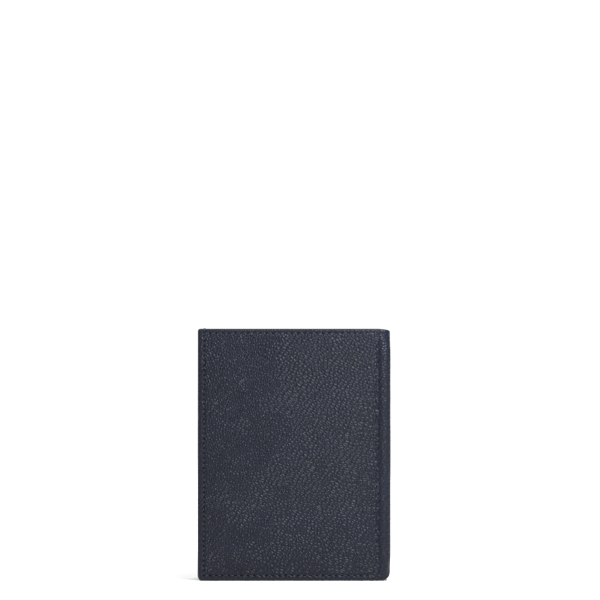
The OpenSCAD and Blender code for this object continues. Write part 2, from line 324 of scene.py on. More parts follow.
def woven_lining():
    """Plain-weave polyester lining: fine crossing threads with a faint sheen.

    Real threads of 0.2 mm would not show, so they are drawn 0.45 mm wide."""
    cloth = sizes("colours").lining
    tree, finish = new_material(
        "woven_lining", Specular_IOR_Level=0.3, Sheen_Weight=0.2, Sheen_Roughness=0.4)
    sheet = add(tree, "ShaderNodeUVMap", uv_map="sheet")
    warp, weft = (
        add(tree, "ShaderNodeTexWave",
            {"Vector": sheet, "Scale": math.pi / (10 * 0.9 * MM), "Distortion": 0.4, "Detail": 1.0},
            bands_direction=direction).outputs["Fac"]
        for direction in ("X", "Y"))
    over = add(tree, "ShaderNodeMath", {0: warp, 1: weft}, operation="MULTIPLY")
    weave = add(tree, "ShaderNodeMath", {0: over, 1: 2.0, 2: 1.0}, operation="MULTIPLY_ADD")
    crossing = add(tree, "ShaderNodeMath", {0: warp, 1: weft}, operation="ADD")
    weave = add(
        tree, "ShaderNodeMath", {0: weave, 1: crossing}, operation="SUBTRACT", use_clamp=True)
    slubs = add(
        tree, "ShaderNodeTexNoise", {"Vector": sheet, "Scale": 1 / (2.5 * MM), "Detail": 3.0})
    worn = add(tree, "ShaderNodeMapRange", {0: slubs, 1: 0.3, 2: 0.7, 3: 0.7, 4: 1.0})
    tone = add(tree, "ShaderNodeMath", {0: weave, 1: worn}, operation="MULTIPLY")
    gloss = add(tree, "ShaderNodeMapRange", {0: weave, 3: 0.8, 4: 0.6})
    normal = add(tree, "ShaderNodeBump", {"Height": weave, "Distance": 0.1 * MM, "Strength": 0.8})
    return finish(tone, shade(cloth, 0.4), shade(cloth, 1.3), gloss, normal)


def waxed_thread():
    """Twisted polyester sewing thread with a wax finish: a soft shine over a fine diagonal twist."""
    thread = sizes("colours").thread
    tree, finish = new_material("waxed_thread", Specular_IOR_Level=0.5, Sheen_Weight=0.1)
    place = add(tree, "ShaderNodeTexCoord").outputs["Object"]
    # The twist's bands are 0.4 mm apart, measured straight across them
    twist = add(
        tree, "ShaderNodeTexWave",
        {"Vector": place, "Scale": math.pi / (10 * 0.35 * MM), "Distortion": 1.5},
        bands_direction="DIAGONAL").outputs["Fac"]
    gloss = add(tree, "ShaderNodeMapRange", {0: twist, 3: 0.55, 4: 0.4})
    normal = add(tree, "ShaderNodeBump", {"Height": twist, "Distance": 0.06 * MM, "Strength": 0.7})
    return finish(twist, shade(thread, 0.6), shade(thread, 1.3), gloss, normal)


def needle_hole_shade():
    """Painted shade of a needle hole: near-black, for the raw leather inside the hole in deep shade."""
    tree, finish = new_material("needle_hole_shade", Specular_IOR_Level=0.1, Roughness=0.9)
    place = add(tree, "ShaderNodeTexCoord").outputs["Object"]
    fibres = add(tree, "ShaderNodeTexNoise", {"Vector": place, "Scale": 1 / (0.2 * MM)})
    return finish(fibres, linear("#08090d"), linear("#14161d"))


def pressed_fibreboard():
    """Pressed fibre stiffener: brown and matt, with flecks of fibre."""
    tree, finish = new_material("pressed_fibreboard", Specular_IOR_Level=0.2, Roughness=0.85)
    place = add(tree, "ShaderNodeTexCoord").outputs["Object"]
    flecks = add(
        tree, "ShaderNodeTexNoise", {"Vector": place, "Scale": 1 / (1.2 * MM), "Detail": 4.0})
    normal = add(tree, "ShaderNodeBump", {"Height": flecks, "Distance": 0.05 * MM})
    return finish(flecks, linear("#6d563f"), linear("#a48a69"), bump=normal)


def clear_vinyl():
    """Calendered clear vinyl: glossy, a little uneven and faintly milky."""
    tree, finish = new_material("clear_vinyl", IOR=1.53, Alpha=0.25)
    place = add(tree, "ShaderNodeTexCoord").outputs["Object"]
    ripples = add(
        tree, "ShaderNodeTexNoise", {"Vector": place, "Scale": 1 / (14 * MM), "Detail": 1.0})
    gloss = add(tree, "ShaderNodeMapRange", {0: ripples, 1: 0.3, 2: 0.7, 3: 0.08, 4: 0.18})
    normal = add(
        tree, "ShaderNodeBump", {"Height": ripples, "Distance": 0.3 * MM, "Strength": 0.5})
    return finish(ripples, linear("#aab2bb"), linear("#ced5db"), gloss, normal)


FINISHES = (
    pebbled_cowhide, smooth_calf, woven_lining, waxed_thread, needle_hole_shade, pressed_fibreboard,
    clear_vinyl)


def finish_of(name):
    """The named material, made the first time that it is asked for."""
    made = bpy.data.materials.get(name)
    return made or next(make for make in FINISHES if make.__name__ == name)()


# ------------------------ meshes

def piece_from(name, points, faces, flat=None, finish=None):
    """A new smooth-shaded piece. flat holds each point's place on the flat sheet, in metres."""
    mesh = bpy.data.meshes.new(name)
    mesh.from_pydata(np.asarray(points, float).tolist(), [], faces)
    mesh.update()
    mesh.polygons.foreach_set("use_smooth", [True] * len(mesh.polygons))
    if flat is not None:
        owners = np.zeros(len(mesh.loops), int)
        mesh.loops.foreach_get("vertex_index", owners)
        layer = mesh.uv_layers.new(name="sheet")
        layer.data.foreach_set("uv", np.asarray(flat, float)[owners].ravel())
    if finish:
        mesh.materials.append(finish_of(finish))
    return shown(name, mesh)


def shown(name, data):
    piece = bpy.data.objects.new(name, data)
    bpy.context.scene.collection.objects.link(piece)
    return piece


def joined(name, pieces):
    """One piece from several, keeping their materials."""
    if len(pieces) > 1:
        with bpy.context.temp_override(active_object=pieces[0], selected_editable_objects=pieces):
            bpy.ops.object.join()
    pieces[0].name = pieces[0].data.name = name
    return pieces[0]


def note(piece, name, values):
    """Stores one number, or one vector, for each point of a piece."""
    values = np.asarray(values, np.float32)
    vector = values.ndim == 2
    layer = piece.data.attributes.new(name, "FLOAT_VECTOR" if vector else "FLOAT", "POINT")
    layer.data.foreach_set("vector" if vector else "value", values.ravel())


def bent(side):
    """The two bodies that a fold's leather or lining joins, and the places between which it bends."""
    return (COVER[side], "spine", (FOLD_X, side * HALF_T, TOP_Z / 2),
            (SPINE_X, side * (HALF_T - FOLD_R), TOP_Z / 2))


def settle(piece, body, slot, *nodes):
    """Attaches a piece to the body it rides on, or, for a piece across a fold, bakes its place into its
    mesh, and hides the nodes it stands for. slot is not used.
    """
    if isinstance(body, str):
        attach(piece, body)
    else:
        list(body)
        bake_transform(piece)
    if nodes:
        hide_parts(*nodes)


def spaced(*spans):
    """Grid lines over spans of (start, end, spacing)."""
    stops = [spans[0][0]]
    for start, end, spacing in spans:
        count = max(1, round((end - start) / spacing))
        stops += [start + (end - start) * (i + 1) / count for i in range(count)]
    return np.array(stops)


def sheet_lines(length, spacing, *extra):
    """Grid lines across a leather sheet: close together at its rounded edges, and at extra places."""
    rim = np.array([0, 0.02, 0.07, 0.15, 0.27, 0.45, 0.7, 1.1]) * MM
    middle = np.linspace(1.1 * MM, length - 1.1 * MM, max(3, round(length / spacing)))[1:-1]
    stops = np.concatenate([rim, length - rim, middle, extra])
    return np.unique(np.round(stops, 6))


def smooth_step(t):
    t = np.clip(t, 0, 1)
    return t * t * (3 - 2 * t)


def soft_noise(x, y, size, seed):
    """Smooth noise, -1 to 1, whose bumps are about size wide."""
    lattice = np.random.default_rng(seed).uniform(-1, 1, (64, 64))
    gx, gy = x / size + 8, y / size + 8
    ix, iy = np.floor(gx).astype(int), np.floor(gy).astype(int)
    fx, fy = smooth_step(gx - ix), smooth_step(gy - iy)

    def corner(a, b):
        return lattice[(ix + a) % 64, (iy + b) % 64]
    return ((corner(0, 0) * (1 - fx) + corner(1, 0) * fx) * (1 - fy)
            + (corner(0, 1) * (1 - fx) + corner(1, 1) * fx) * fy)


def round_corner(du, dv, radius):
    """Moves places near a square corner onto a round one. du and dv are distances from its two edges."""
    au, av = radius - du, radius - dv
    inside = (au > 0) & (av > 0)
    scale = np.where(inside, np.maximum(au, av) / np.maximum(np.hypot(au, av), 1e-9), 1.0)
    return np.where(inside, radius - au * scale, du), np.where(inside, radius - av * scale, dv)


def edge_round(d, radius):
    """How deep a rounded edge of that radius lies, at a distance d from its outline."""
    return radius - np.sqrt(np.maximum(radius ** 2 - np.clip(radius - d, 0, radius) ** 2, 0))


def on_side(side, x, y, z):
    """Points built for the back half, moved to the side asked for."""
    return np.stack(np.broadcast_arrays(x, -side * y, z), axis=-1)


def turned(faces, side):
    """Keeps the faces pointing outwards on the mirrored side."""
    return faces if side == BACK else [tuple(reversed(f)) for f in faces]


def grid_faces(index):
    """Quads over a grid of point numbers, seen from outside the back cover."""
    return np.stack(
        [index[:-1, :-1], index[1:, :-1], index[1:, 1:], index[:-1, 1:]], axis=-1
    ).reshape(-1, 4).tolist()


def pillow(name, us, vs, front, back, side, finish):
    """A closed sheet from two faces that meet along their edge. front and back give x, y and z."""
    u, v = np.meshgrid(us, vs, indexing="ij")
    outer, inner = on_side(side, *front(u, v)), on_side(side, *back(u, v))
    index = np.arange(u.size).reshape(u.shape)
    inside = np.zeros(u.shape, bool)
    inside[1:-1, 1:-1] = True
    inner_index = index.copy()
    inner_index[inside] = u.size + np.arange(inside.sum())
    faces = grid_faces(index) + [face[::-1] for face in grid_faces(inner_index)]
    flat = np.stack([u, v], axis=-1)
    return piece_from(
        name, np.vstack([outer.reshape(-1, 3), inner[inside]]), turned(faces, side),
        np.vstack([flat.reshape(-1, 2), flat[inside]]), finish)


def rim_of(u, v, width, length):
    return np.minimum(np.minimum(u, width - u), np.minimum(v, length - v))


def strip(name, side, x0, x1, y0, y1, z0, z1, finish):
    """A plain strip of leather with rounded edges, between two depths given as Y on the back half."""
    width, length, t = x1 - x0, z1 - z0, y1 - y0

    def face(near):
        def place(u, v):
            depth = edge_round(rim_of(u, v, width, length), t / 2)
            return x0 + u, y0 + depth if near else y1 - depth, z0 + v
        return place
    return pillow(
        name, sheet_lines(width, 1.5 * MM), sheet_lines(length, 3 * MM), face(True), face(False), side,
        finish)


# ------------------------ the outer leather

def wrap(u, depth):
    """Plan-view place of a point u along the unrolled back half, at a depth below its outer face."""
    turn = np.clip((u - FLAT_U) / FOLD_R, 0, math.pi / 2)
    r = FOLD_R - depth
    x = FOLD_X + np.minimum(u - FLAT_U, 0) + r * np.sin(turn)
    y = -HALF_T + FOLD_R - r * np.cos(turn) + np.maximum(u - FLAT_U - ARC_U, 0)
    return x, y


def stand(u, v):
    """Height of a point v up the sheet: the leather draws in at both ends of the spine."""
    s = sizes("leather")
    turn = np.clip((u - FLAT_U) / ARC_U, 0, 1)
    bottom = s.lift_low * (1 - np.cos(turn * math.pi / 2)) ** 1.3
    top = s.lift_high * smooth_step(turn * 1.13)
    # Only the end 25 mm of the sheet gives way
    keep = 25 * MM
    return (v + bottom * np.clip(1 - v / keep, 0, 1) ** 1.5
            - top * np.clip(1 - (TOP_Z - v) / keep, 0, 1) ** 1.5)


def seam_rows():
    """The outer seam's rows on the flat cover: stitch length, start and end. None runs along the spine."""
    t = sizes("thread")
    u0, u1 = t.from_edge, FLAT_U - t.from_fold
    v0, v1 = t.from_bottom, TOP_Z - t.from_top
    # The row at the free edge runs on past the top row, to the stitch over the edge
    past_top = 0.9 * MM
    return ((t.pitch_up, (u0, v0), (u0, v1 + past_top)),
            (t.pitch_across, (u0, v1), (u1, v1)), (t.pitch_across, (u0, v0), (u1, v0)))


def seam_pull(u, v, reach):
    """How hard the seam draws each place in, 0 to 1. It is hardest at the needle holes."""
    pull = np.zeros(np.shape(u))
    for pitch, start, end in seam_rows():
        run = np.subtract(end, start)
        length = np.hypot(*run)
        (du, dv), step = run / length, length / int(length / pitch)
        along = (u - start[0]) * du + (v - start[1]) * dv
        past = np.maximum(np.maximum(-along, along - length), 0)
        away = np.hypot((u - start[0]) * dv - (v - start[1]) * du, past)
        hardest = 0.75 + 0.25 * np.cos(2 * np.pi * along / step)
        pull = np.maximum(pull, hardest * np.exp(-(away / reach) ** 2))
    return pull


def outer_depth(u, v):
    """Depth of the outer face below the flat cover: bulge, crease, bead, seam channel and rounded edge."""
    s = sizes("leather")
    # The bulge comes down more slowly beside the fold. The crease lies a little past the board's end
    slower, past_board, crease_width = 0.75, 0.3 * MM, 1.1 * MM
    near_end = np.minimum(v, TOP_Z - v)

    def rise(d):
        return 1 - np.clip(1 - d / s.roll, 0, 1) ** 2
    bulge = s.bulge * rise(u) * rise(slower * (FLAT_U - u)) * rise(near_end)
    crease = s.crease * np.exp(-((u - FLAT_U - past_board) / crease_width) ** 2)
    bead = s.bead * np.sin(np.pi * np.clip((u - FLAT_U) / ARC_U, 0, 1)) ** 2
    uneven = s.wave * (soft_noise(u, v, 21 * MM, 3) + 0.5 * soft_noise(u, v, 9 * MM, 4))
    inward = smooth_step((near_end - 2 * MM) / (10 * MM))
    channel = s.channel * seam_pull(u, v, 0.62 * MM)
    edge = edge_round(np.minimum(u, near_end), COVER_T / 2)
    return edge + channel + (crease - bead) * (0.4 + 0.6 * inward) - bulge - uneven * inward


def leather_lines():
    """Grid lines of the outer leather, closer together at its edges and along its seams."""
    s = sizes("leather")
    past_seam = 3.9 * MM
    rim = [(0, 0.12 * MM, 0.06 * MM), (0.12 * MM, 0.4 * MM, 0.14 * MM), (0.4 * MM, 1.2 * MM, 0.27 * MM)]
    seam = [(1.2 * MM, past_seam, 0.24 * MM)]
    us = spaced(*rim, *seam, (past_seam, HALF_U, s.grid))
    half = spaced(*rim, *seam, (past_seam, TOP_Z / 2, s.grid))
    return us, np.concatenate([half, (TOP_Z - half[:-1])[::-1]])


def inner_total(u):
    """Thickness of the cover with its turned margin, which thins over the fold, past the board's end."""
    return COVER_T + (SPINE_T - COVER_T) * smooth_step((u - FLAT_U - 0.2 * MM) / (3 * MM))


def pebble_tree():
    """Geometry nodes that raise a leather's face into pebbles."""
    tree = bpy.data.node_groups.new("pebbled grain", "GeometryNodeTree")
    for name, kind in (("Geometry", "NodeSocketGeometry"), ("Relief", "NodeSocketFloat"),
                       ("Leather", "NodeSocketMaterial")):
        tree.interface.new_socket(name, in_out="INPUT", socket_type=kind)
    tree.interface.new_socket("Geometry", in_out="OUTPUT", socket_type="NodeSocketGeometry")
    start = add(tree, "NodeGroupInput")
    grain = add(tree, "GeometryNodeInputNamedAttribute", {0: "grain"}, data_type="FLOAT_VECTOR")
    press = add(tree, "GeometryNodeInputNamedAttribute", {0: "press"}, data_type="FLOAT")
    free = add(
        tree, "ShaderNodeMath", {0: 1.0, 1: press}, operation="SUBTRACT", use_clamp=True)
    centred = add(
        tree, "ShaderNodeMath", {0: pebbles(tree, grain.outputs[0]), 1: 0.5}, operation="SUBTRACT")
    lift = add(tree, "ShaderNodeMath", {0: centred, 1: free}, operation="MULTIPLY")
    lift = add(
        tree, "ShaderNodeMath", {0: lift, 1: start.outputs["Relief"]}, operation="MULTIPLY")
    offset = add(
        tree, "ShaderNodeVectorMath", {0: add(tree, "GeometryNodeInputNormal"), "Scale": lift},
        operation="SCALE")
    raised = add(tree, "GeometryNodeSetPosition", {"Geometry": start, "Offset": offset})
    whole = add(tree, "GeometryNodeRealizeInstances", {0: raised})
    painted = add(
        tree, "GeometryNodeSetMaterial", {0: whole, "Material": start.outputs["Leather"]})
    add(tree, "NodeGroupOutput", {0: painted})
    return tree


def run_tree(piece, tree, **values):
    """Runs a geometry node tree on a piece and keeps the result as a plain mesh."""
    modifier = piece.modifiers.new(tree.name, "NODES")
    modifier.node_group = tree
    for item in tree.interface.items_tree:
        key = item.name.lower()
        if item.in_out == "INPUT" and key in values:
            modifier[item.identifier] = values[key]
    bpy.context.view_layer.update()
    depsgraph = bpy.context.evaluated_depsgraph_get()
    mesh = bpy.data.meshes.new_from_object(
        piece.evaluated_get(depsgraph), preserve_all_data_layers=True, depsgraph=depsgraph)
    name = piece.name
    bpy.data.objects.remove(piece)
    mesh.name = name
    return shown(name, mesh)


def grain_place(u, v, side):
    """Where each point lies on the hide, in pebble widths, and how far the grain has turned there."""
    cell = sizes("leather").cell
    # The front is cut from another part of the hide
    apart = 70 * MM
    u = u + (apart if side == FRONT else 0)
    du = 1.7 * MM * soft_noise(u, v, 16 * MM, 11) + 0.5 * MM * soft_noise(u, v, 6 * MM, 12)
    dv = 1.7 * MM * soft_noise(u, v, 18 * MM, 13) + 0.5 * MM * soft_noise(u, v, 6 * MM, 14)
    # Past 0.42 of the way across, the pebbles turn long. The border wanders and runs aslant
    across = (u % apart if side == FRONT else u) / FLAT_U + 0.25 * (1 - v / TOP_Z)
    mask = smooth_step((across - 0.42 + 0.3 * soft_noise(u, v, 11 * MM, 15)) / 0.1)
    return np.stack([(u + du) / cell, (v + dv) / cell, mask], axis=-1)


def outer_leather(side, tree):
    """One half of the outer leather: a cover with its turned edges, a fold, and half of the spine."""
    s = sizes("leather")
    us, vs = leather_lines()
    nu, nv = len(us), len(vs)
    u, v = (g.ravel() for g in np.meshgrid(us, vs, indexing="ij"))

    def place(pu, pv, depth):
        upper = pv > TOP_Z / 2
        ru, rv = round_corner(pu, np.where(upper, TOP_Z - pv, pv), np.where(
            upper, s.corner_high, s.corner_low))
        x, y = wrap(ru, depth)
        return on_side(side, x, y, stand(ru, np.where(upper, TOP_Z - rv, rv)))

    index = np.arange(nu * nv).reshape(nu, nv)
    points, flat = [place(u, v, outer_depth(u, v))], [np.stack([u, v], axis=-1)]
    edge = np.minimum(u, np.minimum(v, TOP_Z - v))
    # The grain is pressed nearly flat along the edges and the seams, and fades over the fold
    pressed = [np.clip(
        0.95 * smooth_step(2.0 - edge / (1.3 * MM)) + 0.9 * seam_pull(u, v, 0.7 * MM)
        + 0.7 * smooth_step((u - FLAT_U) / (1.5 * MM)), 0, 0.95)]
    faces = grid_faces(index)

    # The turned margin: loops that run round the edge, over it and back to the board
    ring = np.concatenate([index[:, 0], index[-1, 1:], index[-2::-1, -1], index[0, -2:0:-1]])
    rim = COVER_T / 2
    steps = [(d * MM, None) for d in (0.06, 0.2, 0.42, 0.7)] + [
        (rim, 0.0), (2.4 * MM, 0.0), (TURN_W - 0.35 * MM, 0.0), (TURN_W - 0.12 * MM, 0.1 * MM),
        (TURN_W - 0.05 * MM, 0.4 * MM), (TURN_W, COVER_T)]
    previous, count = ring, nu * nv
    for d, sunk in steps:
        ru = d + u[ring] * (HALF_U - d) / HALF_U
        rv = d + v[ring] * (TOP_Z - 2 * d) / TOP_Z
        rounding = edge_round(np.minimum(ru, np.minimum(rv, TOP_Z - rv)), rim)
        depth = inner_total(ru) - (rounding if sunk is None else sunk)
        points.append(place(ru, rv, np.maximum(depth, LEATHER_T + 0.02 * MM)))
        flat.append(np.stack([ru, rv], axis=-1))
        pressed.append(np.full(len(ring), 0.9))
        current = count + np.arange(len(ring))
        after = np.roll(np.arange(len(ring)), -1)
        faces += np.stack(
            [previous[after], previous, current, current[after]], axis=-1).tolist()
        previous, count = current, count + len(ring)
    # The leather's inner face, under the board: strips from the bottom to the top
    bottom, top = previous[:nu], previous[nu + nv - 2:2 * nu + nv - 2][::-1]
    faces += np.stack(
        [bottom[1:-2], top[1:-2], top[2:-1], bottom[2:-1]], axis=-1).tolist()
    near_side, far_side = previous[2 * nu + nv - 2:], previous[nu:nu + nv - 2]
    faces.append([int(i) for i in (bottom[1], bottom[0], *near_side[::-1], top[0], top[1])])
    faces.append([int(i) for i in (top[-2], top[-1], *far_side[::-1], bottom[-1], bottom[-2])])

    flat = np.vstack(flat)
    piece = piece_from(SIDE_NAME[side] + "_outer_leather", np.vstack(points), turned(faces, side), flat)
    note(piece, "grain", grain_place(flat[:, 0], flat[:, 1], side))
    note(piece, "press", np.concatenate(pressed))
    piece = run_tree(piece, tree, relief=s.relief, leather=finish_of("pebbled_cowhide"))
    nodes = ["back_leather", "spine_leather"] if side == BACK else ["front_leather"]
    settle(piece, bent(side), "grained_leather", *nodes)
    return piece


class HOLDER_OT_outer_leather(bpy.types.Operator):
    """Makes the two halves of the outer leather, which meet along the middle of the spine"""
    bl_idname = "holder.outer_leather"
    bl_label = "Outer leather"

    def execute(self, context):
        tree = pebble_tree()
        for side in (BACK, FRONT):
            outer_leather(side, tree)
        return {"FINISHED"}


# ------------------------ boards and linings

def stay(side):
    """Half of the spine's stay: a thin strip of board between the spine's leather and its lining."""
    us = spaced((FLAT_U + 0.55 * ARC_U, HALF_U, 0.5 * MM))
    vs = spaced((TURN_W + 0.1 * MM, TOP_Z - TURN_W - 0.1 * MM, 3 * MM))

    def face(depth):
        def place(u, v):
            return (*wrap(u, depth), stand(u, v))
        return place
    clear, thick = 0.03 * MM, 0.09 * MM
    piece = pillow(
        SIDE_NAME[side] + "_spine_stay", us, vs, face(LEATHER_T + clear),
        face(LEATHER_T + clear + thick), side, "pressed_fibreboard")
    settle(piece, bent(side), "board", "spine_stay")


class HOLDER_OT_boards(bpy.types.Operator):
    """Finishes the boards, and makes the spine's stay. They lie hidden between leather and lining"""
    bl_idname = "holder.boards"
    bl_label = "Boards"

    def execute(self, context):
        for side in (BACK, FRONT):
            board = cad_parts[SIDE_NAME[side] + "_board"]
            board.data.materials.clear()
            board.data.materials.append(finish_of("pressed_fibreboard"))
            stay(side)
        return {"FINISHED"}


def lining(side):
    """Half of the woven lining: it tucks in behind the turned margins and runs over the fold."""
    tuck = TURN_W - 0.08 * MM
    # The mesh is finest along the sheet's edges, and finer over the fold than on the flat
    hem, before_fold, fine, flat_grid = tuck + 0.3 * MM, FLAT_U - 4 * MM, 0.1 * MM, 2.5 * MM
    us = spaced((tuck, hem, fine), (hem, before_fold, flat_grid), (before_fold, HALF_U, 0.5 * MM))
    vs = spaced((tuck, hem, fine), (hem, TOP_Z - hem, flat_grid), (TOP_Z - hem, TOP_Z - tuck, fine))
    # How far the lining lies behind the face of the turned margin
    behind = 0.16 * MM

    def face(lift):
        def place(u, v):
            ripple = 0.04 * MM * soft_noise(u, v, 7 * MM, 31)
            rim = np.minimum(u - tuck, np.minimum(v - tuck, TOP_Z - tuck - v))
            thick = LINING_T * np.clip(rim / (0.2 * MM), 0, 1) ** 0.5
            x, y = wrap(u, inner_total(u) - behind + ripple - LINING_T / 2 + lift * thick / 2)
            return x, y, stand(u, v)
        return place
    piece = pillow(
        SIDE_NAME[side] + "_woven_lining", us, vs, face(-1), face(1), side, "woven_lining")
    nodes = ["back_lining", "spine_lining"] if side == BACK else ["front_lining"]
    settle(piece, bent(side), "lining", *nodes)


class HOLDER_OT_lining(bpy.types.Operator):
    """Makes the two halves of the woven lining, which face the banknote compartments"""
    bl_idname = "holder.lining"
    bl_label = "Lining"

    def execute(self, context):
        for side in (BACK, FRONT):
            lining(side)
        return {"FINISHED"}


# ------------------------ pages and pockets

# Spacing of a page's mesh, and how deep the line below a mouth is pressed
PAGE_GRID, PRESSED = 1.8 * MM, 0.1 * MM


def back_half(node):
    """(lowest, highest) Y of a node, as if it were on the back half."""
    y0, y1 = low(node).y, high(node).y
    return (y0, y1) if y1 < 0 else (-y1, -y0)


def press_lines(length):
    """Grid lines across the pressed line below a mouth."""
    return [length - sizes("pocket").crease + k * 0.15 * MM for k in range(-3, 4)]


def mouth(u, v, width, length, share):
    """How hard the line below a mouth is pressed, and how far the sheet dips, over the top share of it."""
    p = sizes("pocket")
    line = np.exp(-((length - v - p.crease) / (0.25 * MM)) ** 2)
    dip = p.bow * np.sin(np.pi * u / width) * smooth_step((v / length - (1 - share)) / share)
    return line, dip


def page(side):
    """The smooth leather panel that carries a cover's pockets."""
    name = SIDE_NAME[side] + "_inner_panel"
    y0, y1 = back_half(name)
    width, length = PAGE_X1 - PAGE_X0, PAGE_Z1 - PAGE_Z0

    def face(near):
        def place(u, v):
            rim = rim_of(u, v, width, length)
            depth = edge_round(rim, (y1 - y0) / 2)
            line, dip = mouth(u, v, width, length, 0.1)
            sag = sizes("pocket").sag * soft_noise(u, v, 18 * MM, 41 + side) * smooth_step(
                rim / (6 * MM))
            y = y0 + depth if near else y1 - depth - PRESSED * line
            return PAGE_X0 + u, y + sag, PAGE_Z0 + v - dip
        return place
    piece = pillow(
        name + "_calf", sheet_lines(width, PAGE_GRID),
        sheet_lines(length, PAGE_GRID, *press_lines(length)),
        face(True), face(False), side, "smooth_calf")
    settle(piece, COVER[side], "smooth_leather", name)


def pocket(side, node, seed):
    """One pocket: a sheet that is thick in its sewn hems and stands clear of the page between them."""
    y0, y1 = back_half(node)
    width, length = PAGE_X1 - PAGE_X0, high(node).z - PAGE_Z0
    p = sizes("pocket")

    def from_hems(u, v):
        return np.minimum(np.minimum(u - p.hem_free, width - p.hem_fold - u), v - p.hem_free)

    def face(near):
        def place(u, v):
            inside = from_hems(u, v)
            thick = (y1 - y0) + (SHEET_T - (y1 - y0)) * smooth_step(inside / (0.3 * MM))
            depth = edge_round(rim_of(u, v, width, length), thick / 2)
            open_part = smooth_step(inside / (9 * MM))
            sag = open_part * (p.sag * soft_noise(u, v, 15 * MM, seed) - 0.22 * MM)
            line, dip = mouth(u, v, width, length, 0.2)
            y = y1 - thick + depth if near else y1 - depth - PRESSED * line
            return PAGE_X0 + u, y + sag, PAGE_Z0 + v - dip
        return place
    step = np.array([-0.05, 0.15, 0.35]) * MM
    piece = pillow(
        node + "_calf",
        sheet_lines(width, PAGE_GRID, *(p.hem_free + step), *(width - p.hem_fold - step)),
        sheet_lines(length, PAGE_GRID, *(p.hem_free + step), *press_lines(length)),
        face(True), face(False), side, "smooth_calf")
    settle(piece, COVER[side], "smooth_leather", node)


def bill_margin(side):
    """The sewn margin between the cover and its inner panel: up the free edge and along the bottom."""
    node = SIDE_NAME[side] + "_bill_seam"
    y0, y1 = back_half(node)
    p = sizes("pocket")
    # It is a hair thicker than the gap, so that the sewn layers meet
    y0, y1 = y0 - 0.03 * MM, y1 + 0.03 * MM
    up = strip(
        node + "_up", side, PAGE_X0, PAGE_X0 + p.hem_free, y0, y1, PAGE_Z0, PAGE_Z1, "smooth_calf")
    along = strip(
        node + "_along", side, PAGE_X0 + p.hem_free - 0.6 * MM, high(node).x, y0, y1, PAGE_Z0,
        PAGE_Z0 + p.hem_free, "smooth_calf")
    settle(joined(node + "_margin", [up, along]), COVER[side], "smooth_leather", node)


class HOLDER_OT_pages(bpy.types.Operator):
    """Makes each cover's banknote margin, inner panel and three pockets"""
    bl_idname = "holder.pages"
    bl_label = "Pages and pockets"

    def execute(self, context):
        for side in (BACK, FRONT):
            bill_margin(side)
            page(side)
            for k, node in enumerate(POCKETS[side]):
                pocket(side, node, 50 + 10 * side + k)
        return {"FINISHED"}


# ------------------------ the centre leaf

def window_frame():
    """The leaf's leather frame: loops that run from its outer edge over its face to the window and back."""
    node = "leaf_window_frame"
    (x0, y0, z0), (x1, y1, z1) = low(node), high(node)
    width, t = 8 * MM, y1 - y0
    count = 40
    side_places = np.arange(count) / count
    su = np.concatenate([side_places, np.ones(count), 1 - side_places, np.zeros(count)])
    sv = np.concatenate([np.zeros(count), side_places, np.ones(count), 1 - side_places])
    rim = np.array([0.03, 0.1, 0.18, 0.25]) * MM
    inset = np.concatenate([[0], rim, [0.8 * MM, 1.4 * MM, 2 * MM, 4 * MM, 6 * MM, 7.2 * MM],
                            width - rim[::-1], [width]])
    face_depth = edge_round(np.minimum(inset, width - inset), t / 2)
    points, flat = [], []
    for near in (True, False):
        chosen = range(len(inset)) if near else range(len(inset) - 2, 0, -1)
        for k in chosen:
            d = inset[k]
            x = x0 + d + su * (x1 - x0 - 2 * d)
            z = z0 + d + sv * (z1 - z0 - 2 * d)
            y = y0 + face_depth[k] if near else y1 - face_depth[k]
            points.append(np.stack(np.broadcast_arrays(x, y, z), axis=-1))
            flat.append(np.stack([x, z], axis=-1))
    loops = np.arange(len(points) * 4 * count).reshape(len(points), 4 * count)
    closed = np.vstack([loops, loops[:1]])
    closed = np.hstack([closed, closed[:, :1]])
    faces = [face[::-1] for face in grid_faces(closed)]
    piece = piece_from(
        "leaf_frame_calf", np.vstack(points), faces, np.vstack(flat), "smooth_calf")
    settle(piece, "leaf", "smooth_leather", node)


